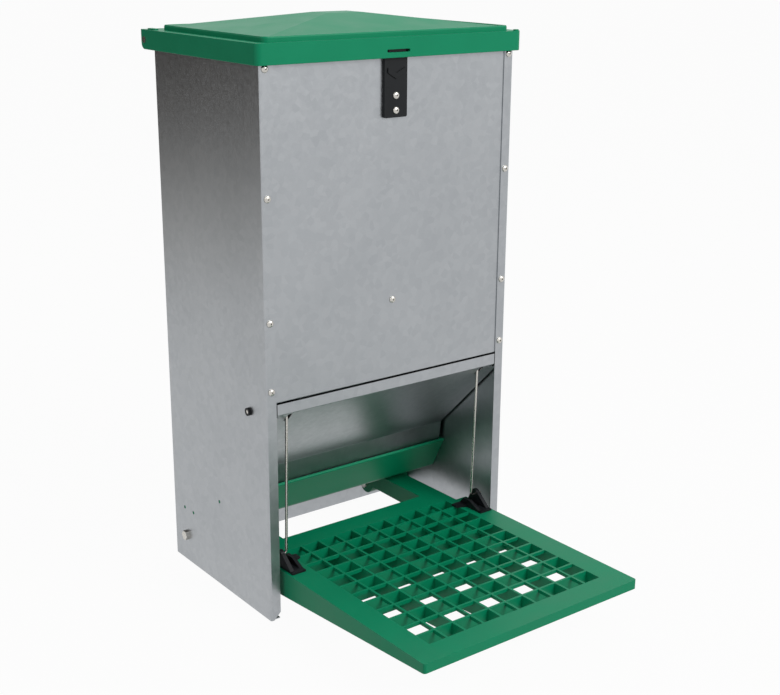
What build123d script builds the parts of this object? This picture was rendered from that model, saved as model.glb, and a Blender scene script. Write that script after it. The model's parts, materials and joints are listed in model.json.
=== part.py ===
from build123d import *
import os
from math import atan2, cos, hypot, radians, sin, sqrt, tan

os.makedirs("parts", exist_ok=True)

# Treadle hopper feeder, in millimetres, +Z up, +X to the right as seen from the front.
# Depths in the named values are measured back from the front plane of the casing's folded flanges.

# Casing of folded galvanised sheet
case_width = 320.0
case_depth = 209.5
case_height = 601.3
sheet = 1.0
flange_width = 12.0
fold_radius = 1.6
corner_cut = 8.0
seam_slip = 0.2
window_top = 244.0
panel_lip = 8.0

# Fits shared by all the pieces
pin_slip = 0.05
body_gap = 0.3

# Low-headed sheet screws, from the lowest row to the highest, drawn with twelve sides
screw_rows = (258.0, 330.5, 456.0, 580.0)
screw_inset = 6.3
screw_sides = 12
screw_radius = 1.95
screw_length = 9.0
screw_head_radius = 3.8
screw_head_height = 2.4
screw_head_taper = 30.0

# Hopper floor
floor_top = 341.0
floor_bottom = 215.0
floor_throat = 42.5
floor_flange = 20.0
floor_side_flange = 12.0

# Trough, a moulding that fills the casing's width
trough_wall = 2.6
trough_side_gap = 0.6
lip_depth = 103.6
lip_height = 102.0
lip_radius = 2.0
trough_base = 60.0
trough_base_front = 123.0
trough_back_height = 118.0
trough_back_gap = 1.0
trough_corner = 9.0
peg_radius = 1.9
peg_recess = 0.3
peg_row_height = 66.0
peg_row_depths = (165.0, 185.0)

# Lid
lid_side = 6.2
lid_front = 6.9
lid_back = 15.8
lid_wall = 2.4
lid_skirt = 20.5
lid_corner = 7.0
platform_front = 7.5
platform_side = 12.0
platform_back = 24.3
platform_rise = 4.0
bead_radius = 1.4
crown_rise = 15.0
crown_flat = (44.0, 28.0)
stud_rise = 1.3
lid_rod_radius = 2.0
lid_rod_height = 593.5
lid_rod_setback = 8.5
lid_ear = 7.0
rod_head_radius = 3.4
rod_head = 0.8

# Catch for the lid
latch_width = 28.6
latch_bottom = 523.6
latch_top = 595.0
latch_thickness = 3.5
latch_screw_rows = (530.9, 545.8)
latch_slot_height = 590.5
latch_slot_size = (29.0, 3.0)

# Flap over the trough
flap_sheet = 1.0
flap_pivot = (34.0, 229.0)
band_top = 243.0
band_fold = 231.0
band_gap = 1.0
flap_side_gap = 4.5
flap_kink = (104.0, 127.0)
flap_end = (107.6, 101.5)
flap_pin_radius = 2.0
flap_ear_radius = 9.0
bush_head_radius = 4.3
bush_head = 3.0
bush_radius = 3.0
weight_size = (286.0, 25.0, 12.0)
weight_from_fold = 117.0

# Treadle
treadle_reach = 239.0
treadle_side_gap = 17.6
deck_height = 53.1
deck_rise = 0.88
treadle_nose = 10.2
treadle_low = (43.0, 20.0)
deck_back = 72.0
shoulder_back = 38.0
arm_inset = 15.4
arm_width = 29.0
arm_bottom = 30.5
arm_level_end = 142.0
deck_skin = 3.5
rim_wall = 3.0
grid_columns = 10
grid_rows = 12
grid_width = 232.0
grid_length = 257.0
grid_front = 26.0
grid_rib = 2.6
grid_shallow = 3.6
treadle_pivot = (182.0, 32.0)
hinge_boss_radius = 13.0
hinge_bolt_radius = 3.0
hinge_bolt_head = 4.0
hinge_hex = 10.0
hinge_nut = 5.0
hinge_washer = (6.0, 1.0)

# Pull rods between the treadle and the flap
rod_radius = 1.5
rod_sides = 12
rod_side = 29.9
rod_bend = 4.5
rod_low = (15.0, 66.0)
rod_high = (9.5, 234.0)
rod_low_reach = 15.5
rod_high_reach = 10.0
rod_play = 1.5
clip_wall = 3.0
clip_gap = 6.0
clip_top = 241.0
clip_back = 19.0

# Rod brackets on the treadle
bracket_cheek = 4.5
bracket_outer = 20.5
bracket_inner = 33.0
bracket_inner_wall = 4.0
bracket_base = 2.2
bracket_front = -12.0
bracket_rear = 27.0
bracket_head = 6.2
bracket_toe = 49.4
bracket_inner_top = 62.0
bracket_peg_radius = 2.0

# Worked out from the sizes above
half_width = case_width / 2
inner_half = half_width - sheet
front_y = (treadle_reach - case_depth - lid_back) / 2
lid_under = case_height + body_gap
lid_top = lid_under + lid_wall
skirt_bottom = lid_top - lid_skirt
lid_half = half_width + lid_side
lid_rod_depth = case_depth + lid_rod_setback
flap_half = half_width - flap_side_gap
band_half = half_width - flange_width - band_gap
rod_x = half_width - rod_side
treadle_half = half_width - treadle_side_gap
arm_outer = treadle_half - arm_inset
arm_inner = arm_outer - arm_width
trough_half = inner_half - trough_side_gap
slope = (flap_kink[0], flap_kink[1] - band_fold)
slope_length = hypot(*slope)


def side(x):
    # a plane across the feeder at x, drawn in depth and height
    return Plane(origin=(x, front_y, 0), x_dir=(0, 1, 0), z_dir=(1, 0, 0))


def facing(depth):
    # a plane facing forwards at this depth, drawn in width and height
    return Plane(origin=(0, front_y + depth, 0), x_dir=(1, 0, 0), z_dir=(0, -1, 0))


def level(height):
    # a level plane, drawn in width and depth
    return Plane(origin=(0, front_y, height), x_dir=(1, 0, 0), z_dir=(0, 0, 1))


def finish(builder, name):
    builder.part.label = name
    export_step(builder.part, f"parts/{name}.step")


# The treadle's top, which rises a little towards the front
deck = Plane(
    origin=(0, front_y, deck_height),
    x_dir=(1, 0, 0),
    z_dir=(0, sin(radians(deck_rise)), cos(radians(deck_rise))),
)


def deck_at(depth):
    return deck_height - depth * tan(radians(deck_rise))


# The flap's sloping face, measured down from the fold under its front band
flap_face = Plane(
    origin=(0, front_y, band_fold),
    x_dir=(1, 0, 0),
    z_dir=(0, -slope[1], slope[0]),
)

# Side panels: a web with folded front, rear and bottom flanges and an ear for the lid's rod
ear_bottom = lid_rod_height - lid_ear
rear_flange_top = ear_bottom - flange_width / 4
screw_x = half_width - screw_inset

with BuildPart() as left_side_panel:
    with BuildSketch(level(0)):
        with BuildLine():
            FilletPolyline(
                (-half_width + flange_width, 0),
                (-half_width, 0),
                (-half_width, case_depth),
                (-half_width + flange_width, case_depth),
                radius=fold_radius,
            )
            offset(amount=sheet, side=Side.RIGHT)
        make_face()
    extrude(amount=case_height)
    with BuildSketch(facing(case_depth - sheet - body_gap)):
        with Locations((-half_width + sheet, rear_flange_top)):
            Rectangle(flange_width, case_height, align=(Align.MIN, Align.MIN))
    extrude(amount=-sheet - 2 * body_gap, mode=Mode.SUBTRACT)
    with BuildSketch(level(0)):
        with Locations((-half_width + fold_radius / 2, fold_radius)):
            Rectangle(
                flange_width - fold_radius / 2,
                case_depth - 2 * sheet - seam_slip - fold_radius,
                align=(Align.MIN, Align.MIN),
            )
    extrude(amount=sheet)
    for depth in (0, case_depth - sheet):
        with BuildSketch(facing(depth)):
            with BuildLine():
                Polyline(
                    (-half_width + flange_width - corner_cut, 0),
                    (-half_width + flange_width, corner_cut),
                    (-half_width + flange_width, 0),
                    close=True,
                )
            make_face()
        extrude(amount=-sheet, mode=Mode.SUBTRACT)
    with BuildSketch(side(-half_width)):
        with BuildLine():
            Polyline(
                (case_depth - fold_radius, ear_bottom),
                (lid_rod_depth, ear_bottom),
                (lid_rod_depth, lid_rod_height + lid_ear),
                (case_depth - fold_radius, lid_rod_height + lid_ear),
                close=True,
            )
        make_face()
        with Locations((lid_rod_depth, lid_rod_height)):
            Circle(lid_ear)
    extrude(amount=sheet)
    with BuildSketch(side(-half_width)):
        with Locations((lid_rod_depth, lid_rod_height)):
            Circle(lid_rod_radius + pin_slip)
        with Locations(flap_pivot):
            Circle(bush_radius + pin_slip)
        with Locations(treadle_pivot):
            Circle(hinge_bolt_radius + pin_slip)
        with Locations(
            (lip_depth, lip_height), *[(depth, peg_row_height) for depth in peg_row_depths]
        ):
            Circle(peg_radius + 2 * pin_slip)
    extrude(amount=sheet, mode=Mode.SUBTRACT)
    with BuildSketch(facing(0)):
        with Locations(*[(-screw_x, height) for height in screw_rows]):
            RegularPolygon(screw_radius + pin_slip, screw_sides)
    extrude(amount=-case_depth, mode=Mode.SUBTRACT)

with BuildPart() as right_side_panel:
    mirror(left_side_panel.part, about=Plane.YZ)

finish(left_side_panel, "left_side_panel")
finish(right_side_panel, "right_side_panel")

# Front panel, behind the front flanges, with a lip folded back above the window
panel_half = inner_half - (fold_radius - sheet) - seam_slip

with BuildPart() as front_panel:
    with BuildSketch(side(-panel_half)):
        with BuildLine():
            FilletPolyline(
                (sheet, case_height),
                (sheet, window_top),
                (sheet + panel_lip, window_top),
                radius=fold_radius,
            )
            offset(amount=sheet, side=Side.LEFT)
        make_face()
    extrude(amount=2 * panel_half)
    with BuildSketch(facing(sheet)):
        with Locations(
            *[(x, height) for x in (-screw_x, screw_x) for height in screw_rows],
            *[(0, height) for height in latch_screw_rows],
            (0, floor_top - floor_flange / 2),
        ):
            RegularPolygon(screw_radius + pin_slip, screw_sides)
    extrude(amount=-sheet, mode=Mode.SUBTRACT)

finish(front_panel, "front_panel")

# Back panel, inside the rear flanges
with BuildPart() as back_panel:
    with BuildSketch(facing(case_depth - 2 * sheet)):
        with Locations((0, 0)):
            Rectangle(2 * panel_half, case_height, align=(Align.CENTER, Align.MIN))
        with Locations(*[(x, height) for x in (-screw_x, screw_x) for height in screw_rows]):
            RegularPolygon(screw_radius + pin_slip, screw_sides, mode=Mode.SUBTRACT)
    extrude(amount=-sheet)

finish(back_panel, "back_panel")

# Hopper floor: a sheet that slopes down to the throat at the back, with folded side flanges
floor_front = 2 * sheet
floor_back = case_depth - floor_throat - 2 * sheet
floor_angle = atan2(floor_top - floor_bottom, floor_back - floor_front)
flange_drop = floor_side_flange / cos(floor_angle)

with BuildPart() as hopper_floor:
    with BuildSketch(side(-panel_half)):
        with BuildLine():
            FilletPolyline(
                (floor_front, floor_top - floor_flange),
                (floor_front, floor_top),
                (floor_back, floor_bottom),
                radius=fold_radius,
            )
            offset(amount=sheet, side=Side.RIGHT)
        make_face()
    extrude(amount=2 * panel_half)
    with BuildSketch(side(-panel_half)):
        with BuildLine():
            Polyline(
                (floor_front + flange_width, floor_top - flange_width * tan(floor_angle) - sheet),
                (floor_back - sheet, floor_bottom),
                (floor_back - sheet, floor_bottom - flange_drop + sheet),
                (
                    floor_front + flange_width,
                    floor_top - flange_width * tan(floor_angle) - flange_drop,
                ),
                close=True,
            )
        make_face()
    extrude(amount=sheet)
    mirror(about=Plane.YZ)
    with BuildSketch(facing(floor_front)):
        with Locations((0, floor_top - floor_flange / 2)):
            RegularPolygon(screw_radius + pin_slip, screw_sides)
        with Locations(*[(x, height) for x in (-screw_x, screw_x) for height in screw_rows]):
            RegularPolygon(screw_radius + 2 * pin_slip, screw_sides)
    extrude(amount=-sheet, mode=Mode.SUBTRACT)

finish(hopper_floor, "hopper_floor")

# Sheet screws: a low tapered head on a plain shank, drawn with the head forwards
with BuildPart() as screw:
    with BuildSketch(Plane.XZ):
        RegularPolygon(screw_head_radius, screw_sides)
    extrude(amount=screw_head_height, taper=screw_head_taper)
    with BuildSketch(Plane.XZ):
        RegularPolygon(screw_radius, screw_sides)
    extrude(amount=-screw_length)

rear_screw = mirror(screw.part, about=Plane.XZ)

with BuildPart() as front_flange_screws:
    with Locations(*[(x, front_y, height) for x in (-screw_x, screw_x) for height in screw_rows]):
        add(screw.part)

with BuildPart() as rear_flange_screws:
    with Locations(
        *[(x, front_y + case_depth, height) for x in (-screw_x, screw_x) for height in screw_rows]
    ):
        add(rear_screw)

with BuildPart() as hopper_floor_screw:
    with Locations((0, front_y + sheet, floor_top - floor_flange / 2)):
        add(screw.part)

latch_face = sheet - latch_thickness

with BuildPart() as latch_screws:
    with Locations(*[(0, front_y + latch_face, height) for height in latch_screw_rows]):
        add(screw.part)

finish(front_flange_screws, "front_flange_screws")
finish(rear_flange_screws, "rear_flange_screws")
finish(hopper_floor_screw, "hopper_floor_screw")
finish(latch_screws, "latch_screws")

# Trough: an open moulded tray with a rolled front lip and pegs that locate it in the side panels
trough_back = case_depth - 2 * sheet - trough_back_gap

trough_corners = (
    (lip_depth - lip_radius, lip_height),
    (trough_base_front, trough_base),
    (trough_back, trough_base),
    (trough_back, trough_back_height),
)

with BuildPart() as trough:
    with BuildSketch(side(-trough_half)):
        with BuildLine():
            FilletPolyline(*trough_corners, radius=trough_corner)
            offset(amount=trough_wall, side=Side.LEFT)
        make_face()
        with Locations((lip_depth, lip_height)):
            Circle(lip_radius)
    extrude(amount=2 * trough_half)
    for end in (-1, 1):
        with BuildSketch(side(end * trough_half)):
            with BuildLine():
                tray_side = FilletPolyline(*trough_corners, radius=trough_corner)
                Line(tray_side @ 1, tray_side @ 0)
            make_face()
        extrude(amount=-end * trough_wall)
    for end in (-1, 1):
        with BuildSketch(side(end * trough_half)):
            with Locations(
                (lip_depth, lip_height), *[(depth, peg_row_height) for depth in peg_row_depths]
            ):
                Circle(peg_radius)
        extrude(amount=end * (half_width - peg_recess - trough_half))

finish(trough, "trough")

# Lid: skirted cover with a raised platform, a rounded bead round it and a shallow hipped crown
platform_width = 2 * (lid_half - platform_side)
platform_start = platform_front - lid_front
platform_end = case_depth + lid_back - platform_back
platform_length = platform_end - platform_start
platform_middle = (platform_start + platform_end) / 2
platform_top = lid_top + platform_rise
crown_width = platform_width - 4 * bead_radius
crown_length = platform_length - 4 * bead_radius
slot_width, slot_tall = latch_slot_size
skirt_length = case_depth + lid_front + lid_back

with BuildPart() as lid:
    with BuildSketch(level(skirt_bottom)):
        with Locations((0, (case_depth + lid_back - lid_front) / 2)):
            Rectangle(2 * lid_half, skirt_length)
    extrude(amount=lid_skirt)
    fillet(lid.edges().filter_by(Axis.Z).group_by(Axis.Y)[0], lid_corner)
    with BuildSketch(level(skirt_bottom)):
        with Locations((0, lid_wall - lid_front)):
            Rectangle(
                2 * (lid_half - lid_wall),
                skirt_length,
                align=(Align.CENTER, Align.MIN),
            )
    extrude(amount=lid_under - skirt_bottom, mode=Mode.SUBTRACT)
    fillet(lid.edges().filter_by(Axis.X).group_by(Axis.Z)[0].sort_by(Axis.Y)[:1], lid_wall / 4)
    with BuildSketch(level(lid_under)):
        with Locations((0, platform_middle)):
            RectangleRounded(platform_width, platform_length, lid_corner)
    extrude(amount=platform_top - lid_under)
    with BuildSketch(level(platform_top)):
        with Locations((0, platform_middle)):
            Rectangle(crown_width, crown_length)
    with BuildSketch(level(platform_top + crown_rise)):
        with Locations((0, platform_middle)):
            Rectangle(*crown_flat)
    loft()
    with BuildSketch(level(lid_under)):
        with Locations((0, platform_middle)):
            RectangleRounded(
                platform_width - 2 * lid_wall, platform_length - 2 * lid_wall, lid_corner / 2
            )
    extrude(amount=platform_rise, mode=Mode.SUBTRACT)
    with BuildSketch(level(lid_under + platform_rise)):
        with Locations((0, platform_middle)):
            Rectangle(crown_width - 2 * lid_wall, crown_length - 2 * lid_wall)
    with BuildSketch(level(lid_under + platform_rise + crown_rise)):
        with Locations((0, platform_middle)):
            Rectangle(*crown_flat)
    loft(mode=Mode.SUBTRACT)
    with BuildSketch(level(platform_top)):
        with Locations((0, platform_middle)):
            RectangleRounded(platform_width, platform_length, lid_corner)
            Rectangle(
                crown_width - 2 * bead_radius, crown_length - 2 * bead_radius, mode=Mode.SUBTRACT
            )
    extrude(amount=bead_radius, taper=25)
    with BuildSketch(side(-lid_half)):
        with Locations((case_depth + lid_back, skirt_bottom)):
            Rectangle(2 * lid_corner, 2 * lid_corner)
        with Locations((case_depth + lid_back - lid_corner, skirt_bottom + lid_corner)):
            Circle(lid_corner, mode=Mode.SUBTRACT)
            Rectangle(
                3 * lid_corner, lid_corner, align=(Align.CENTER, Align.MIN), mode=Mode.SUBTRACT
            )
            Rectangle(
                lid_corner, 3 * lid_corner, align=(Align.MAX, Align.CENTER), mode=Mode.SUBTRACT
            )
    extrude(amount=2 * lid_half, mode=Mode.SUBTRACT)
    with BuildSketch(side(-lid_half)):
        with Locations((lid_rod_depth, lid_rod_height)):
            Circle(lid_rod_radius + pin_slip)
    extrude(amount=2 * lid_half, mode=Mode.SUBTRACT)
    with BuildSketch(facing(-lid_front)):
        with Locations((0, latch_slot_height)):
            RectangleRounded(slot_width, slot_tall, slot_tall / 2.1)
    extrude(amount=-2 * lid_wall, mode=Mode.SUBTRACT)
    with BuildSketch(level(lid_top - stud_rise)):
        stud_middle = lid_half - platform_side / 2
        with Locations(
            (-stud_middle, platform_end + platform_back / 3),
            (stud_middle, platform_end + platform_back / 3),
        ):
            RectangleRounded(platform_side / 2, platform_back * 2 / 3, lid_wall)
        with Locations((stud_middle, platform_start / 2 - lid_front / 2)):
            RectangleRounded(platform_side / 2, platform_front * 2 / 3, lid_wall)
    extrude(amount=2 * stud_rise)

finish(lid, "lid")

# Rod that the lid swings on, peened over at both ends
with BuildPart() as lid_hinge_rod:
    with BuildSketch(side(-lid_half - body_gap)):
        with Locations((lid_rod_depth, lid_rod_height)):
            Circle(lid_rod_radius)
    extrude(amount=2 * (lid_half + body_gap))
    for end in (-1, 1):
        with BuildSketch(side(end * (lid_half + body_gap))):
            with Locations((lid_rod_depth, lid_rod_height)):
                Circle(rod_head_radius)
        extrude(amount=end * rod_head)

finish(lid_hinge_rod, "lid_hinge_rod")

# Latch: a springy plate with a raised chevron and a nose that snaps into the lid's slot
nose_front = lid_wall - lid_front + body_gap
chevron_middle = (latch_screw_rows[1] + latch_slot_height) / 2 + latch_thickness / 2
chevron_half = latch_width / 2 - latch_thickness

with BuildPart() as latch:
    with BuildSketch(facing(sheet)):
        with Locations((0, latch_bottom)):
            RectangleRounded(
                latch_width, latch_top - latch_bottom, latch_thickness / 2, align=(Align.CENTER, Align.MIN)
            )
    extrude(amount=latch_thickness)
    with BuildSketch(facing(latch_face)):
        with BuildLine():
            Polyline(
                (-chevron_half, chevron_middle + latch_thickness),
                (-chevron_half, chevron_middle - latch_thickness / 3),
                (0, chevron_middle - 2.2 * latch_thickness),
                (chevron_half, chevron_middle - latch_thickness / 3),
                (chevron_half, chevron_middle + latch_thickness),
                (0, chevron_middle - latch_thickness / 2),
                close=True,
            )
        make_face()
    extrude(amount=latch_thickness / 3)
    with BuildSketch(facing(latch_face)):
        with Locations((0, latch_slot_height)):
            Rectangle(slot_width - 2 * latch_thickness, slot_tall - 2 * body_gap)
    extrude(amount=latch_face - nose_front)
    with BuildSketch(facing(sheet)):
        with Locations(*[(0, height) for height in latch_screw_rows]):
            RegularPolygon(screw_radius + pin_slip, screw_sides)
    extrude(amount=latch_thickness, mode=Mode.SUBTRACT)

finish(latch, "latch")

# Flap: a folded sheet with a front band, end ears and slots that the pull rods pass through
ear_from = 9.0
ear_to = 60.0
slot_from = 2.0
slot_to = 17.5
along = (slope[0] / slope_length, slope[1] / slope_length)


def on_flap(distance, lift):
    # a point this far down the flap's face, raised off it towards the back
    return (
        along[0] * distance - along[1] * lift,
        band_fold + along[1] * distance + along[0] * lift,
    )


with BuildPart() as flap:
    with BuildSketch(side(-flap_half)):
        with BuildLine():
            FilletPolyline(
                (0, band_top),
                (0, band_fold),
                flap_kink,
                flap_end,
                radius=fold_radius,
            )
            offset(amount=flap_sheet, side=Side.LEFT)
        make_face()
    extrude(amount=2 * flap_half)
    with BuildSketch(facing(-fold_radius)):
        with Locations((0, band_fold)):
            Rectangle(2 * half_width, 4 * flange_width)
        with Locations((0, band_fold - 4.0)):
            RectangleRounded(
                2 * band_half, 4 * flange_width, 5.0, align=(Align.CENTER, Align.MIN), mode=Mode.SUBTRACT
            )
        with Locations((0, band_fold - 4.0)):
            Rectangle(
                2 * half_width, 4 * flange_width, align=(Align.CENTER, Align.MAX), mode=Mode.SUBTRACT
            )
    extrude(amount=-fold_radius - 5.0, mode=Mode.SUBTRACT)
    with BuildSketch(flap_face):
        with Locations(*[(x, (slot_from + slot_to) / 2) for x in (-rod_x, rod_x)]):
            RectangleRounded(2 * rod_radius + 2.5, slot_to - slot_from, rod_radius)
    extrude(amount=flap_sheet + body_gap, both=True, mode=Mode.SUBTRACT)
    for end in (-1, 1):
        with BuildSketch(side(end * flap_half)):
            with BuildLine():
                Polyline(
                    on_flap(ear_from, flap_sheet / 2),
                    on_flap(ear_to, flap_sheet / 2),
                    (flap_pivot[0] + flap_ear_radius, flap_pivot[1]),
                    (flap_pivot[0], flap_pivot[1] + flap_ear_radius),
                    (flap_pivot[0] - flap_ear_radius, flap_pivot[1]),
                    close=True,
                )
            make_face()
            with Locations(flap_pivot):
                Circle(flap_ear_radius)
                Circle(flap_pin_radius + pin_slip, mode=Mode.SUBTRACT)
        extrude(amount=-end * flap_sheet)

finish(flap, "flap")

# Steel bar welded behind the flap: it swings the flap shut and lifts the treadle
with BuildPart() as flap_counterweight:
    with BuildSketch(flap_face.offset(flap_sheet)):
        with Locations((0, weight_from_fold)):
            Rectangle(weight_size[0], weight_size[1], align=(Align.CENTER, Align.MIN))
    extrude(amount=weight_size[2])
    chamfer(flap_counterweight.edges().filter_by(Axis.X).group_by(Axis.Z)[-1], flap_sheet)

finish(flap_counterweight, "flap_counterweight")

# Bushes and pins that the flap hangs on
with BuildPart() as left_flap_bush:
    with BuildSketch(side(-half_width)):
        with Locations(flap_pivot):
            Circle(bush_head_radius)
    extrude(amount=-bush_head)
    with BuildSketch(side(-half_width)):
        with Locations(flap_pivot):
            Circle(bush_radius)
    extrude(amount=flap_side_gap - body_gap)
    with BuildSketch(side(-half_width - bush_head)):
        with Locations(flap_pivot):
            Circle(flap_pin_radius + pin_slip)
    extrude(amount=bush_head + flap_side_gap, mode=Mode.SUBTRACT)

with BuildPart() as right_flap_bush:
    mirror(left_flap_bush.part, about=Plane.YZ)

with BuildPart() as left_flap_pin:
    with BuildSketch(side(-half_width - bush_head + body_gap)):
        with Locations(flap_pivot):
            Circle(flap_pin_radius)
    extrude(amount=bush_head - body_gap + flap_side_gap + flap_sheet)
    with BuildSketch(side(-flap_half + flap_sheet)):
        with Locations(flap_pivot):
            Circle(2 * flap_pin_radius)
    extrude(amount=flap_pin_radius)

with BuildPart() as right_flap_pin:
    mirror(left_flap_pin.part, about=Plane.YZ)

finish(left_flap_bush, "left_flap_bush")
finish(right_flap_bush, "right_flap_bush")
finish(left_flap_pin, "left_flap_pin")
finish(right_flap_pin, "right_flap_pin")

# Clips in the fold of the flap that hold the upper ends of the pull rods
clip_seat = band_fold + flap_sheet * sqrt(2)
clip_length = 2 * clip_wall + clip_gap

with BuildPart() as left_rod_clip:
    with BuildSketch(side(-rod_x - clip_length / 2)):
        with BuildLine():
            Polyline(
                (flap_sheet + pin_slip, clip_seat - flap_sheet),
                (flap_sheet + pin_slip, clip_top),
                (clip_back - 5.0, clip_top),
                (clip_back, clip_top - 5.0),
                (clip_back, clip_seat + pin_slip - clip_back),
                close=True,
            )
        make_face()
    extrude(amount=clip_length)
    with BuildSketch(side(-rod_x - clip_gap / 2)):
        with BuildLine():
            Polyline(
                (0, clip_seat - clip_back),
                (0, clip_top - clip_wall),
                (clip_back - 5.0, clip_top - clip_wall),
                (clip_back - clip_wall, clip_top - 5.0 - clip_wall / 2),
                (clip_back - clip_wall, clip_seat - clip_back),
                close=True,
            )
        make_face()
    extrude(amount=clip_gap, mode=Mode.SUBTRACT)
    with BuildSketch(side(-rod_x - clip_length / 2)):
        with Locations(rod_high):
            Circle(rod_radius + rod_play)
    extrude(amount=clip_wall, mode=Mode.SUBTRACT)

with BuildPart() as right_rod_clip:
    mirror(left_rod_clip.part, about=Plane.YZ)

finish(left_rod_clip, "left_rod_clip")
finish(right_rod_clip, "right_rod_clip")

# Pull rods: wire with both ends bent outwards, drawn with twelve sides
with BuildPart() as left_rod:
    with BuildLine():
        FilletPolyline(
            (-rod_x - rod_low_reach, front_y + rod_low[0], rod_low[1]),
            (-rod_x, front_y + rod_low[0], rod_low[1]),
            (-rod_x, front_y + rod_high[0], rod_high[1]),
            (-rod_x - rod_high_reach, front_y + rod_high[0], rod_high[1]),
            radius=rod_bend,
        )
    with BuildSketch(side(-rod_x - rod_low_reach)):
        with Locations(rod_low):
            RegularPolygon(rod_radius, rod_sides)
    sweep()

with BuildPart() as right_rod:
    mirror(left_rod.part, about=Plane.YZ)

finish(left_rod, "left_rod")
finish(right_rod, "right_rod")

# Treadle: a wedge-shaped moulding, hollow below, with an open two-depth grid and two rear arms
nose_top = deck_at(-treadle_reach)
tail_top = deck_at(arm_level_end)
pitch_x = grid_width / grid_columns
pitch_y = grid_length / grid_rows
grid_start = grid_front - treadle_reach
grid_end = grid_start + grid_length
boss_y, boss_z = treadle_pivot
boss_reach = inner_half - hinge_washer[1] - body_gap

with BuildPart() as treadle:
    with BuildSketch(side(-treadle_half)) as wedge:
        with BuildLine():
            Polyline(
                (-treadle_reach, nose_top - treadle_nose),
                treadle_low,
                (deck_back, treadle_low[1]),
                (deck_back, deck_at(deck_back)),
                (-treadle_reach, nose_top),
                close=True,
            )
        make_face()
    extrude(amount=2 * treadle_half)
    fillet(treadle.edges().filter_by(Axis.Z).group_by(Axis.Y)[0], rim_wall)
    for end in (-1, 1):
        # the shoulders step in behind the rod brackets
        with BuildSketch(side(end * treadle_half)):
            with Locations((shoulder_back, 0)):
                Rectangle(deck_back, 2 * deck_height, align=(Align.MIN, Align.MIN))
        extrude(amount=-end * arm_inset, mode=Mode.SUBTRACT)
        with BuildSketch(side(end * arm_outer)):
            with BuildLine():
                Polyline(
                    (deck_back - arm_width, arm_bottom),
                    (boss_y - hinge_boss_radius, arm_bottom),
                    (boss_y, boss_z - hinge_boss_radius),
                    (boss_y + hinge_boss_radius, boss_z),
                    (boss_y, boss_z + hinge_boss_radius),
                    (arm_level_end, tail_top),
                    (deck_back - arm_width, deck_at(deck_back - arm_width)),
                    close=True,
                )
            make_face()
            with Locations(treadle_pivot):
                Circle(hinge_boss_radius)
        extrude(amount=-end * arm_width)
    # hollows under the margins round the grid
    margin = treadle_half - grid_width / 2
    strip_x = treadle_half - margin / 2
    cavity = deck_height - deck_skin
    hollow_front = grid_start - treadle_reach
    with BuildSketch(deck.offset(-deck_skin)):
        for end in (-1, 1):
            with BuildLine():
                Polyline(
                    (end * (grid_width / 2 + rim_wall), -treadle_reach + rim_wall),
                    (end * (treadle_half - rim_wall), -treadle_reach + rim_wall),
                    (end * (treadle_half - rim_wall), shoulder_back - rim_wall),
                    (end * (grid_width / 2 + rim_wall), shoulder_back - rim_wall),
                    close=True,
                )
            make_face()
        with Locations((0, grid_start - rim_wall)):
            Rectangle(
                grid_width - 2 * rim_wall, grid_front - 2 * rim_wall, align=(Align.CENTER, Align.MAX)
            )
        with Locations((0, grid_end + rim_wall)):
            Rectangle(
                grid_width - 2 * rim_wall,
                deck_back - grid_end - 2 * rim_wall,
                align=(Align.CENTER, Align.MIN),
            )
    extrude(amount=-cavity, mode=Mode.SUBTRACT)
    # the fine mesh of ribs on top
    with BuildSketch(deck):
        with Locations((0, grid_start + grid_length / 2)):
            with GridLocations(pitch_x, pitch_y, grid_columns, grid_rows):
                Rectangle(pitch_x - grid_rib, pitch_y - grid_rib)
    extrude(amount=-grid_shallow, mode=Mode.SUBTRACT)
    # the deep cells below it, two columns wide and two rows long except at the ends
    row_edges = [0] + list(range(1, grid_rows, 2)) + [grid_rows]
    with BuildSketch(deck.offset(-grid_shallow)):
        for first, last in zip(row_edges, row_edges[1:]):
            middle = grid_start + pitch_y * (first + last) / 2
            with Locations((0, middle)):
                with GridLocations(2 * pitch_x, pitch_y, grid_columns // 2, 1):
                    Rectangle(2 * pitch_x - grid_rib, pitch_y * (last - first) - grid_rib)
    extrude(amount=-deck_height, mode=Mode.SUBTRACT)
    # bosses out to the side panels, and the bores for the hinge bolts
    for end in (-1, 1):
        with BuildSketch(side(end * arm_outer)):
            with Locations(treadle_pivot):
                Circle(hinge_boss_radius * 0.7)
        extrude(amount=end * (boss_reach - arm_outer))
    with BuildSketch(side(-boss_reach)):
        with Locations(treadle_pivot):
            Circle(hinge_bolt_radius + pin_slip)
    extrude(amount=2 * boss_reach, mode=Mode.SUBTRACT)
    # holes that the brackets' pegs sit in
    peg_x = half_width - (bracket_outer + bracket_inner) / 2 - bracket_peg_radius / 2
    peg_depths = (bracket_front + 2.5 * bracket_peg_radius, bracket_rear - 3 * bracket_peg_radius)
    with BuildSketch(deck):
        with Locations(*[(end * peg_x, depth) for end in (-1, 1) for depth in peg_depths]):
            Circle(bracket_peg_radius + pin_slip)
    extrude(amount=-deck_skin, mode=Mode.SUBTRACT)

finish(treadle, "treadle")

# Rod brackets: two cheeks on a flat base, pegged to the deck
cheek_x = half_width - bracket_outer
inner_cheek_x = half_width - bracket_inner
toe_x = half_width - bracket_toe

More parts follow.
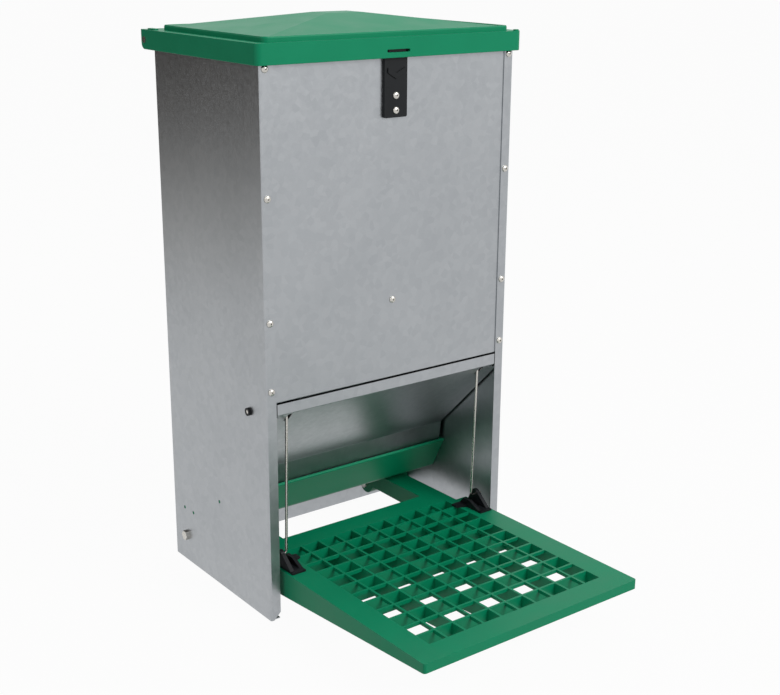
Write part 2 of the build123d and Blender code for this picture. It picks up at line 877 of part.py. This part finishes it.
with BuildPart() as left_treadle_bracket:
    with BuildSketch(deck):
        with BuildLine():
            Polyline(
                (-cheek_x, bracket_front),
                (-inner_cheek_x + bracket_inner_wall, bracket_front),
                (-inner_cheek_x + bracket_inner_wall, bracket_rear - 3 * bracket_cheek),
                (-toe_x, bracket_rear - 2 * bracket_cheek),
                (-toe_x, bracket_rear),
                (-cheek_x, bracket_rear),
                close=True,
            )
        make_face()
    extrude(amount=bracket_base)
    with BuildSketch(side(-cheek_x)):
        with BuildLine():
            Polyline(
                (bracket_front + 3, deck_height + bracket_base / 2),
                (bracket_rear, deck_height + bracket_base / 2),
                (rod_low[0] + bracket_head, rod_low[1]),
                (rod_low[0], rod_low[1] + bracket_head),
                (rod_low[0] - bracket_head, rod_low[1] + bracket_head / 2),
                close=True,
            )
        make_face()
        with Locations(rod_low):
            Circle(bracket_head)
            RegularPolygon(rod_radius + 2 * pin_slip, rod_sides, mode=Mode.SUBTRACT)
    extrude(amount=bracket_cheek)
    with BuildSketch(side(-inner_cheek_x)):
        with BuildLine():
            Polyline(
                (bracket_front + 3, deck_height + bracket_base / 2),
                (bracket_rear, deck_height + bracket_base / 2),
                (bracket_rear - bracket_head, bracket_inner_top),
                (rod_low[0] - bracket_head, bracket_inner_top),
                close=True,
            )
        make_face()
    extrude(amount=bracket_inner_wall)
    with BuildSketch(deck):
        with Locations(*[(-peg_x, depth) for depth in peg_depths]):
            Circle(bracket_peg_radius)
    extrude(amount=-deck_skin)

with BuildPart() as right_treadle_bracket:
    mirror(left_treadle_bracket.part, about=Plane.YZ)

finish(left_treadle_bracket, "left_treadle_bracket")
finish(right_treadle_bracket, "right_treadle_bracket")

# Hinge bolts, washers and nuts that the treadle turns on
hex_radius = hinge_hex / sqrt(3)
nut_x = arm_inner - body_gap
bolt_end = nut_x - hinge_nut - hinge_bolt_radius / 3

with BuildPart() as treadle_hinge_bolts:
    with BuildSketch(side(-half_width)):
        with Locations(treadle_pivot):
            RegularPolygon(hex_radius, 6)
    extrude(amount=-hinge_bolt_head)
    with BuildSketch(side(-half_width)):
        with Locations(treadle_pivot):
            Circle(hinge_bolt_radius)
    extrude(amount=half_width - bolt_end)
    mirror(about=Plane.YZ)

with BuildPart() as treadle_hinge_washers:
    with BuildSketch(side(-inner_half)):
        with Locations(treadle_pivot):
            Circle(hinge_washer[0])
            Circle(hinge_bolt_radius + pin_slip, mode=Mode.SUBTRACT)
    extrude(amount=hinge_washer[1])
    mirror(about=Plane.YZ)

with BuildPart() as treadle_hinge_nuts:
    with BuildSketch(side(-nut_x)):
        with Locations(treadle_pivot):
            RegularPolygon(hex_radius, 6)
            Circle(hinge_bolt_radius + pin_slip, mode=Mode.SUBTRACT)
    extrude(amount=hinge_nut)
    mirror(about=Plane.YZ)

finish(treadle_hinge_bolts, "treadle_hinge_bolts")
finish(treadle_hinge_washers, "treadle_hinge_washers")
finish(treadle_hinge_nuts, "treadle_hinge_nuts")
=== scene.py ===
import json
import math

import bmesh
import bpy
from mathutils import Matrix, Vector


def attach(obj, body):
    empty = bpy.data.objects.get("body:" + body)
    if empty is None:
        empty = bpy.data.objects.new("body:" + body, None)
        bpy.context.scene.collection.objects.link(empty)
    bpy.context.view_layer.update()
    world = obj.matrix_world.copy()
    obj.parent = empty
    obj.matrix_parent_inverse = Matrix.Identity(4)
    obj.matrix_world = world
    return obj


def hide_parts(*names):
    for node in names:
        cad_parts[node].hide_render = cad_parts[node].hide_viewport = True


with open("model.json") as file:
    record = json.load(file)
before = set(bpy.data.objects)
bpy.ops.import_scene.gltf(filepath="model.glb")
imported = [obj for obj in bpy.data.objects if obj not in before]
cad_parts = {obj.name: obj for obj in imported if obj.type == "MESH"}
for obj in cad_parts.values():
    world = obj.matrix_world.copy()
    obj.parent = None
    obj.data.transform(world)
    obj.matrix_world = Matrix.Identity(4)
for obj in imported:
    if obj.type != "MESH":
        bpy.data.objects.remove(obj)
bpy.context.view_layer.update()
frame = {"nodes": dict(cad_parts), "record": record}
print("frame loaded:", len(frame["nodes"]), "nodes")


# Small helpers

def toLinear(hexText):  # an sRGB hex value as linear RGBA
    parts = [int(hexText[i:i + 2], 16) / 255 for i in (0, 2, 4)]
    return [p / 12.92 if p <= 0.04045 else ((p + 0.055) / 1.055) ** 2.4 for p in parts] + [1.0]


def addNode(tree, kind, settings=None, inputs=None):  # a node with its settings, values and links
    node = tree.nodes.new(kind)
    for name, value in (settings or {}).items():
        setattr(node, name, value)
    for name, value in (inputs or {}).items():
        if isinstance(value, bpy.types.NodeSocket):
            tree.links.new(value, node.inputs[name])
        else:
            node.inputs[name].default_value = value
    return node


def newMaterial(name):  # an empty material and its shader
    material = bpy.data.materials.new(name)
    material.use_nodes = True
    material.node_tree.nodes.clear()
    shader = addNode(material.node_tree, "ShaderNodeBsdfPrincipled")
    addNode(material.node_tree, "ShaderNodeOutputMaterial", inputs={"Surface": shader.outputs[0]})
    return material, material.node_tree, shader


def perMetre(millimetres):  # a texture scale whose features are this far apart
    return 1000.0 / millimetres


# Camera, at the photograph's viewing angle

cameraSettings = {
    "place": (-0.81785, -1.06484, 0.70189),
    "yaw": 0.6498,    # from +Y towards +X
    "pitch": 0.305,   # downwards
    "roll": 0.0069,
    "lens": 60.67,
    "sensor": 36.0,
}


def makeCamera(s):
    forward = Vector((
        math.sin(s["yaw"]) * math.cos(s["pitch"]),
        math.cos(s["yaw"]) * math.cos(s["pitch"]),
        -math.sin(s["pitch"]),
    ))
    right = Vector((math.cos(s["yaw"]), -math.sin(s["yaw"]), 0.0))
    up = right.cross(forward)
    rolledRight = right * math.cos(s["roll"]) + up * math.sin(s["roll"])
    rolledUp = up * math.cos(s["roll"]) - right * math.sin(s["roll"])
    data = bpy.data.cameras.new("photoCamera")
    data.lens = s["lens"]
    data.sensor_width = s["sensor"]
    data.sensor_fit = "HORIZONTAL"
    data.clip_end = 200.0
    camera = bpy.data.objects.new("photoCamera", data)
    bpy.context.scene.collection.objects.link(camera)
    turn = Matrix((rolledRight, rolledUp, -forward)).transposed()
    camera.matrix_world = Matrix.Translation(s["place"]) @ turn.to_4x4()
    bpy.context.scene.camera = camera


makeCamera(cameraSettings)
bpy.context.scene.view_settings.view_transform = "Standard"
print("camera set")


# Studio: white air, a pale floor, soft lamps and one grey card that only the metal sees

studioSettings = {
    "airLevel": 0.42,      # how much the air lights the object
    "floorHalf": 30.0,
    "floorDrop": 0.0004,
    "floorColour": "B9B8B5",
    "floorLift": 0.96,     # share of the floor's own white, the rest takes the shadow
    "lamps": (
        ("keyLamp", (0.9, -2.4, 2.1), (1.6, 1.4), 62.0),
        ("fillLamp", (-2.6, -0.9, 1.9), (1.6, 1.6), 10.0),
        ("topLamp", (0.4, 0.9, 2.8), (1.8, 1.2), 10.0),
    ),
    "aim": (0.0, 0.0, 0.3),
    "cardPlace": (-1.02, 1.30, 0.0),
    "cardSize": (2.3, 1.25),
    "cardTurn": math.radians(28.0),
    "cardFoot": "D9D7D3",
    "cardTop": "504B47",
    "cardFade": 0.42,      # height at which the card is fully dark
}


def seenDirectly(tree):  # 1 for the rays that show the background
    path = addNode(tree, "ShaderNodeLightPath")
    either = addNode(tree, "ShaderNodeMath", {"operation": "MAXIMUM"}, {
        0: path.outputs["Is Camera Ray"], 1: path.outputs["Is Glossy Ray"]})
    return addNode(tree, "ShaderNodeMath", {"operation": "MAXIMUM"}, {
        0: either.outputs[0], 1: path.outputs["Is Transmission Ray"]}).outputs[0]


def makeAir(s):
    world = bpy.data.worlds.new("studioAir")
    world.use_nodes = True
    tree = world.node_tree
    tree.nodes.clear()
    lit = addNode(tree, "ShaderNodeBackground", inputs={"Strength": s["airLevel"]})
    shown = addNode(tree, "ShaderNodeBackground", inputs={"Strength": 1.0})
    lit.inputs["Color"].default_value = (1, 1, 1, 1)
    shown.inputs["Color"].default_value = (1, 1, 1, 1)
    mix = addNode(tree, "ShaderNodeMixShader", inputs={
        0: seenDirectly(tree), 1: lit.outputs[0], 2: shown.outputs[0]})
    addNode(tree, "ShaderNodeOutputWorld", inputs={"Surface": mix.outputs[0]})
    bpy.context.scene.world = world


def makeFloor(s):
    mesh = bpy.data.meshes.new("studioFloor")
    half = s["floorHalf"]
    corners = [(-half, -half), (half, -half), (half, half), (-half, half)]
    mesh.from_pydata([(x, y, -s["floorDrop"]) for x, y in corners], [], [(0, 1, 2, 3)])
    floor = bpy.data.objects.new("studioFloor", mesh)
    bpy.context.scene.collection.objects.link(floor)
    material = bpy.data.materials.new("paintedFloor")
    material.use_nodes = True
    tree = material.node_tree
    tree.nodes.clear()
    paint = addNode(tree, "ShaderNodeBsdfDiffuse", inputs={"Color": toLinear(s["floorColour"])})
    white = addNode(tree, "ShaderNodeEmission", inputs={"Strength": 1.0})
    share = addNode(tree, "ShaderNodeMath", {"operation": "MULTIPLY"}, {
        0: seenDirectly(tree), 1: s["floorLift"]})
    mix = addNode(tree, "ShaderNodeMixShader", inputs={
        0: share.outputs[0], 1: paint.outputs[0], 2: white.outputs[0]})
    addNode(tree, "ShaderNodeOutputMaterial", inputs={"Surface": mix.outputs[0]})
    mesh.materials.append(material)


def makeLamps(s):
    for name, place, size, power in s["lamps"]:
        data = bpy.data.lights.new(name, "AREA")
        data.shape = "RECTANGLE"
        data.size, data.size_y = size
        data.energy = power
        lamp = bpy.data.objects.new(name, data)
        lamp.location = place
        lamp.rotation_euler = (Vector(s["aim"]) - Vector(place)).to_track_quat("-Z", "Y").to_euler()
        lamp.visible_camera = False
        bpy.context.scene.collection.objects.link(lamp)


def makeCard(s):  # the grey wall of the studio, which the left side panel reflects
    width, height = s["cardSize"]
    mesh = bpy.data.meshes.new("greyCard")
    turn = Matrix.Rotation(s["cardTurn"], 4, "Z")
    flat = [(-width / 2, 0, 0), (width / 2, 0, 0), (width / 2, 0, height), (-width / 2, 0, height)]
    mesh.from_pydata([tuple(turn @ Vector(p) + Vector(s["cardPlace"])) for p in flat], [], [(0, 1, 2, 3)])
    card = bpy.data.objects.new("greyCard", mesh)
    bpy.context.scene.collection.objects.link(card)
    material = bpy.data.materials.new("shadedCard")
    material.use_nodes = True
    tree = material.node_tree
    tree.nodes.clear()
    place = addNode(tree, "ShaderNodeTexCoord")
    split = addNode(tree, "ShaderNodeSeparateXYZ", inputs={0: place.outputs["Object"]})
    rise = addNode(tree, "ShaderNodeMapRange", {"interpolation_type": "SMOOTHSTEP"}, {
        "Value": split.outputs["Z"], "From Min": 0.0, "From Max": s["cardFade"]})
    shade = addNode(tree, "ShaderNodeMix", {"data_type": "RGBA"}, {
        "Factor": rise.outputs[0]})
    shade.inputs[6].default_value = toLinear(s["cardFoot"])
    shade.inputs[7].default_value = toLinear(s["cardTop"])
    glow = addNode(tree, "ShaderNodeEmission", inputs={"Color": shade.outputs[2]})
    addNode(tree, "ShaderNodeOutputMaterial", inputs={"Surface": glow.outputs[0]})
    mesh.materials.append(material)
    for flag in ("visible_camera", "visible_diffuse", "visible_shadow", "visible_transmission"):
        setattr(card, flag, False)


makeAir(studioSettings)
makeFloor(studioSettings)
makeLamps(studioSettings)
makeCard(studioSettings)
print("studio set")


# Materials

def galvanisedSheet(name, darkHex, lightHex):
    # hot-dip galvanised steel sheet: a soft satin reflection, faint zinc spangles a few
    # millimetres wide, and the slight waviness of thin rolled sheet
    material, tree, shader = newMaterial(name)
    place = addNode(tree, "ShaderNodeTexCoord").outputs["Object"]
    spangle = addNode(tree, "ShaderNodeTexVoronoi", {"feature": "F1"}, {
        "Vector": place, "Scale": perMetre(7.0), "Randomness": 1.0})
    cloud = addNode(tree, "ShaderNodeTexNoise", inputs={
        "Vector": place, "Scale": perMetre(90.0), "Detail": 3.0, "Roughness": 0.55})
    mottle = addNode(tree, "ShaderNodeTexNoise", inputs={
        "Vector": place, "Scale": perMetre(5.0), "Detail": 4.0, "Roughness": 0.6})
    shade = addNode(tree, "ShaderNodeMath", {"operation": "MULTIPLY_ADD"}, {
        0: spangle.outputs["Color"], 1: 0.35, 2: 0.2})
    blend = addNode(tree, "ShaderNodeMath", {"operation": "MULTIPLY_ADD"}, {
        0: cloud.outputs[0], 1: 0.5, 2: shade.outputs[0]})
    colour = addNode(tree, "ShaderNodeMix", {"data_type": "RGBA"}, {"Factor": blend.outputs[0]})
    colour.inputs[6].default_value = toLinear(darkHex)
    colour.inputs[7].default_value = toLinear(lightHex)
    rough = addNode(tree, "ShaderNodeMapRange", inputs={
        "Value": mottle.outputs[0], "From Min": 0.3, "From Max": 0.7, "To Min": 0.30, "To Max": 0.40})
    stretched = addNode(tree, "ShaderNodeMapping", inputs={"Vector": place, "Scale": (1.0, 1.0, 0.35)})
    wave = addNode(tree, "ShaderNodeTexNoise", inputs={
        "Vector": stretched.outputs[0], "Scale": perMetre(70.0), "Detail": 1.0})
    waveBump = addNode(tree, "ShaderNodeBump", inputs={
        "Strength": 0.5, "Distance": 0.0012, "Height": wave.outputs[0]})
    fine = addNode(tree, "ShaderNodeBump", inputs={
        "Strength": 0.06, "Distance": 0.0003, "Height": mottle.outputs[0],
        "Normal": waveBump.outputs[0]})
    tree.links.new(colour.outputs[2], shader.inputs["Base Color"])
    tree.links.new(rough.outputs[0], shader.inputs["Roughness"])
    tree.links.new(fine.outputs[0], shader.inputs["Normal"])
    shader.inputs["Metallic"].default_value = 1.0
    return material


def platedSteel(name, darkHex, lightHex, roughness):
    # bright zinc-plated steel wire and fasteners: a clear highlight with a slight haze
    material, tree, shader = newMaterial(name)
    place = addNode(tree, "ShaderNodeTexCoord").outputs["Object"]
    haze = addNode(tree, "ShaderNodeTexNoise", inputs={
        "Vector": place, "Scale": perMetre(2.5), "Detail": 3.0})
    colour = addNode(tree, "ShaderNodeMix", {"data_type": "RGBA"}, {"Factor": haze.outputs[0]})
    colour.inputs[6].default_value = toLinear(darkHex)
    colour.inputs[7].default_value = toLinear(lightHex)
    rough = addNode(tree, "ShaderNodeMapRange", inputs={
        "Value": haze.outputs[0], "To Min": roughness - 0.06, "To Max": roughness + 0.06})
    tree.links.new(colour.outputs[2], shader.inputs["Base Color"])
    tree.links.new(rough.outputs[0], shader.inputs["Roughness"])
    shader.inputs["Metallic"].default_value = 1.0
    return material


def mouldedPlastic(name, darkHex, lightHex, roughness, grain):
    # injection-moulded polypropylene: an even colour with soft flow marks, and the fine
    # spark-eroded grain of the mould that breaks up its highlights
    material, tree, shader = newMaterial(name)
    place = addNode(tree, "ShaderNodeTexCoord").outputs["Object"]
    flow = addNode(tree, "ShaderNodeTexNoise", inputs={
        "Vector": place, "Scale": perMetre(45.0), "Detail": 3.0, "Distortion": 0.4})
    texture = addNode(tree, "ShaderNodeTexNoise", inputs={
        "Vector": place, "Scale": perMetre(grain), "Detail": 2.0})
    colour = addNode(tree, "ShaderNodeMix", {"data_type": "RGBA"}, {"Factor": flow.outputs[0]})
    colour.inputs[6].default_value = toLinear(darkHex)
    colour.inputs[7].default_value = toLinear(lightHex)
    rough = addNode(tree, "ShaderNodeMapRange", inputs={
        "Value": flow.outputs[0], "From Min": 0.3, "From Max": 0.7,
        "To Min": roughness - 0.04, "To Max": roughness + 0.05})
    bump = addNode(tree, "ShaderNodeBump", inputs={
        "Strength": 0.12, "Distance": 0.0002, "Height": texture.outputs[0]})
    tree.links.new(colour.outputs[2], shader.inputs["Base Color"])
    tree.links.new(rough.outputs[0], shader.inputs["Roughness"])
    tree.links.new(bump.outputs[0], shader.inputs["Normal"])
    shader.inputs["IOR"].default_value = 1.49
    shader.inputs["Specular IOR Level"].default_value = 0.2
    return material


galvanised = galvanisedSheet("galvanisedSteelSheet", "979B9F", "AEB1B4")
plated = platedSteel("zincPlatedSteel", "B7B4AE", "D2CFC9", 0.26)
greenPlastic = mouldedPlastic("greenPolypropylene", "007C56", "04875F", 0.42, 1.2)
blackPlastic = mouldedPlastic("blackPolypropylene", "131517", "1B1E21", 0.40, 1.0)

finishes = {
    "galvanised_sheet": galvanised,
    "zinc_steel": plated,
    "green_plastic": greenPlastic,
    "black_plastic": blackPlastic,
}
for part in frame["record"]["subparts"]:  # every CAD node takes its finish
    node = frame["nodes"][part["node"]]
    node.data.materials.clear()
    node.data.materials.append(finishes[part["material_slot"]])
print("materials made")


# Geometry Nodes trees

def newTree(name, inputs):  # a tree with named inputs, its group nodes and the sockets' identifiers
    tree = bpy.data.node_groups.new(name, "GeometryNodeTree")
    tree.interface.new_socket("Geometry", in_out="INPUT", socket_type="NodeSocketGeometry")
    sockets = {}
    for label, kind, value in inputs:
        socket = tree.interface.new_socket(label, in_out="INPUT", socket_type=kind)
        socket.default_value = value
        sockets[label] = socket.identifier
    tree.interface.new_socket("Geometry", in_out="OUTPUT", socket_type="NodeSocketGeometry")
    return tree, addNode(tree, "NodeGroupInput"), addNode(tree, "NodeGroupOutput"), sockets


def endTree(tree, group, output, shape):  # realise, set the material and hand the mesh out
    real = addNode(tree, "GeometryNodeRealizeInstances", inputs={"Geometry": shape})
    done = addNode(tree, "GeometryNodeSetMaterial", inputs={
        "Geometry": real.outputs[0], "Material": group.outputs["Material"]})
    tree.links.new(done.outputs[0], output.inputs["Geometry"])


def baked(name, mesh, tree, sockets, values, body):  # runs the tree on a mesh and keeps the result
    source = bpy.data.objects.new(name + "Source", mesh)
    bpy.context.scene.collection.objects.link(source)
    modifier = source.modifiers.new("shape", "NODES")
    modifier.node_group = tree
    for label, value in values.items():
        modifier[sockets[label]] = value
    graph = bpy.context.evaluated_depsgraph_get()
    result = bpy.data.meshes.new_from_object(source.evaluated_get(graph))
    source.modifiers.remove(modifier)
    bpy.data.objects.remove(source)
    result.name = name
    piece = bpy.data.objects.new(name, result)
    bpy.context.scene.collection.objects.link(piece)
    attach(piece, body)
    return piece


# Screws: domed sheet screws with a cross recess, set on the places of the CAD ones

screwSettings = {
    "headRadius": 0.0038,
    "headHeight": 0.0024,
    "shankRadius": 0.00185,
    "shankLength": 0.0088,
    "rings": 7,
    "segments": 28,
    "crossHalf": 0.0019,
    "crossWidth": 0.00042,
    "crossDepth": 0.0011,
}


def screwMesh(s):  # one screw, its head towards -Y and its seat at the origin
    shape = bmesh.new()
    rings = []
    for step in range(s["rings"]):
        angle = math.pi / 2 * step / s["rings"]
        radius = s["headRadius"] * math.cos(angle)
        depth = -s["headHeight"] * (0.16 + 0.84 * math.sin(angle))
        if step == 0:
            rings.append((radius, 0.0))
        rings.append((radius, depth))
    rings = [(s["shankRadius"], s["shankLength"]), (s["shankRadius"], 0.0)] + rings
    loops = []
    for radius, depth in rings:
        loops.append([shape.verts.new((
            radius * math.cos(2 * math.pi * k / s["segments"]), depth,
            radius * math.sin(2 * math.pi * k / s["segments"]))) for k in range(s["segments"])])
    for low, high in zip(loops, loops[1:]):
        for k in range(s["segments"]):
            n = (k + 1) % s["segments"]
            shape.faces.new((low[k], low[n], high[n], high[k]))
    shape.faces.new(loops[0])
    # the crown is closed round a cross-shaped recess
    half, width = s["crossHalf"], s["crossWidth"]
    outline = [
        (half, -width), (half, width), (width, width), (width, half), (-width, half), (-width, width),
        (-half, width), (-half, -width), (-width, -width), (-width, -half), (width, -half), (width, -width),
    ]
    crown = -s["headHeight"]
    rim = [shape.verts.new((x, crown, z)) for x, z in outline]
    pit = [shape.verts.new((x * 0.7, crown + s["crossDepth"], z * 0.7)) for x, z in outline]
    for k in range(len(outline)):
        n = (k + 1) % len(outline)
        shape.faces.new((rim[k], rim[n], pit[n], pit[k]))
    shape.faces.new(pit)
    edges = []
    for ring in (loops[-1], rim):
        edges += [shape.edges.get((ring[k], ring[(k + 1) % len(ring)])) for k in range(len(ring))]
    bmesh.ops.triangle_fill(shape, use_beauty=True, use_dissolve=False, edges=edges)
    bmesh.ops.recalc_face_normals(shape, faces=shape.faces)
    for face in shape.faces:
        face.smooth = True
    mesh = bpy.data.meshes.new("screwShape")
    shape.to_mesh(mesh)
    shape.free()
    mesh.set_sharp_from_angle(angle=math.radians(38))
    return mesh


def islandSeats(node, forwards):  # where each CAD screw's head meets what it holds
    shape = bmesh.new()
    shape.from_mesh(frame["nodes"][node].data)
    bmesh.ops.remove_doubles(shape, verts=shape.verts, dist=1e-6)
    left = set(shape.verts)
    seats = []
    while left:
        heap = [left.pop()]
        island = list(heap)
        while heap:
            for edge in heap.pop().link_edges:
                for vert in edge.verts:
                    if vert in left:
                        left.remove(vert)
                        heap.append(vert)
                        island.append(vert)
        xs, ys, zs = zip(*[v.co for v in island])
        tip = min(ys) if forwards else max(ys)
        seat = tip + screwSettings["headHeight"] * (1 if forwards else -1)
        seats.append(((min(xs) + max(xs)) / 2, seat, (min(zs) + max(zs)) / 2))
    shape.free()
    return sorted(seats)


screwTree, screwIn, screwOut, screwSockets = newTree("domedScrews", (
    ("Screw", "NodeSocketObject", None),
    ("Turn", "NodeSocketVector", (0.0, 0.0, 0.0)),
    ("Seed", "NodeSocketInt", 4),
    ("Material", "NodeSocketMaterial", None),
))
screwInfo = addNode(screwTree, "GeometryNodeObjectInfo", inputs={0: screwIn.outputs["Screw"]})
screwSpin = addNode(screwTree, "FunctionNodeRandomValue", {"data_type": "FLOAT"}, {
    "Seed": screwIn.outputs["Seed"]})
screwSpin.inputs[2].default_value = 0.0
screwSpin.inputs[3].default_value = math.pi
screwSpinY = addNode(screwTree, "ShaderNodeCombineXYZ", inputs={"Y": screwSpin.outputs[1]})
screwTurned = addNode(screwTree, "ShaderNodeVectorMath", {"operation": "ADD"}, {
    0: screwIn.outputs["Turn"], 1: screwSpinY.outputs[0]})
screwSet = addNode(screwTree, "GeometryNodeInstanceOnPoints", inputs={
    "Points": screwIn.outputs["Geometry"], "Instance": screwInfo.outputs["Geometry"],
    "Rotation": screwTurned.outputs[0]})
endTree(screwTree, screwIn, screwOut, screwSet.outputs[0])

screwShape = bpy.data.objects.new("screwShape", screwMesh(screwSettings))
bpy.context.scene.collection.objects.link(screwShape)
screwGroups = (
    ("frontScrews", "front_flange_screws", True),
    ("rearScrews", "rear_flange_screws", False),
    ("floorScrew", "hopper_floor_screw", True),
    ("latchScrews", "latch_screws", True),
)
for pieceName, node, forwards in screwGroups:
    points = bpy.data.meshes.new(pieceName + "Points")
    points.from_pydata(islandSeats(node, forwards), [], [])
    piece = baked(pieceName, points, screwTree, screwSockets, {
        "Screw": screwShape, "Turn": (0.0, 0.0, 0.0 if forwards else math.pi),
        "Seed": 4, "Material": plated}, "casing")
    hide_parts(node)
bpy.data.objects.remove(screwShape)
print("screws set")


# Pull rods: round wire bent outwards at both ends

rodSettings = {
    "rodX": 0.1301,
    "low": (0.02185, 0.066),
    "high": (0.01635, 0.234),
    "lowReach": 0.0155,
    "highReach": 0.010,
    "radius": 0.00144,  # just inside the twelve-sided rod, so that it stays clear of the clips
    "bend": 0.0045,
}

rodTree, rodIn, rodOut, rodSockets = newTree("bentWire", (
    ("Radius", "NodeSocketFloat", 0.0015),
    ("Bend", "NodeSocketFloat", 0.0045),
    ("Seed", "NodeSocketInt", 0),
    ("Material", "NodeSocketMaterial", None),
))
rodCurve = addNode(rodTree, "GeometryNodeMeshToCurve", inputs={"Mesh": rodIn.outputs["Geometry"]})
rodBent = addNode(rodTree, "GeometryNodeFilletCurve", inputs={
    "Curve": rodCurve.outputs[0], "Radius": rodIn.outputs["Bend"]})
rodBent.inputs["Limit Radius"].default_value = True
if "Mode" in rodBent.inputs:
    rodBent.inputs["Mode"].default_value = "Poly"
else:
    rodBent.mode = "POLY"
rodBent.inputs["Count"].default_value = 8
rodRound = addNode(rodTree, "GeometryNodeCurvePrimitiveCircle", inputs={
    "Resolution": 20, "Radius": rodIn.outputs["Radius"]})
rodMesh = addNode(rodTree, "GeometryNodeCurveToMesh", inputs={
    "Curve": rodBent.outputs[0], "Profile Curve": rodRound.outputs[0], "Fill Caps": True})
endTree(rodTree, rodIn, rodOut, rodMesh.outputs[0])


def makeRod(s, name, node, side):  # the wire rides on the body that has its node's name
    path = [
        (side * (s["rodX"] + s["lowReach"]), *s["low"]),
        (side * s["rodX"], *s["low"]),
        (side * s["rodX"], *s["high"]),
        (side * (s["rodX"] + s["highReach"]), *s["high"]),
    ]
    line = bpy.data.meshes.new(name + "Path")
    line.from_pydata(path, [(0, 1), (1, 2), (2, 3)], [])
    piece = baked(name, line, rodTree, rodSockets, {
        "Radius": s["radius"], "Bend": s["bend"], "Seed": 0, "Material": plated}, node)
    shape = bmesh.new()
    shape.from_mesh(piece.data)
    bmesh.ops.recalc_face_normals(shape, faces=shape.faces)
    shape.to_mesh(piece.data)
    shape.free()
    piece.data.shade_smooth()
    piece.data.set_sharp_from_angle(angle=math.radians(50))
    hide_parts(node)


makeRod(rodSettings, "leftRodWire", "left_rod", -1)
makeRod(rodSettings, "rightRodWire", "right_rod", 1)
print("pull rods bent")
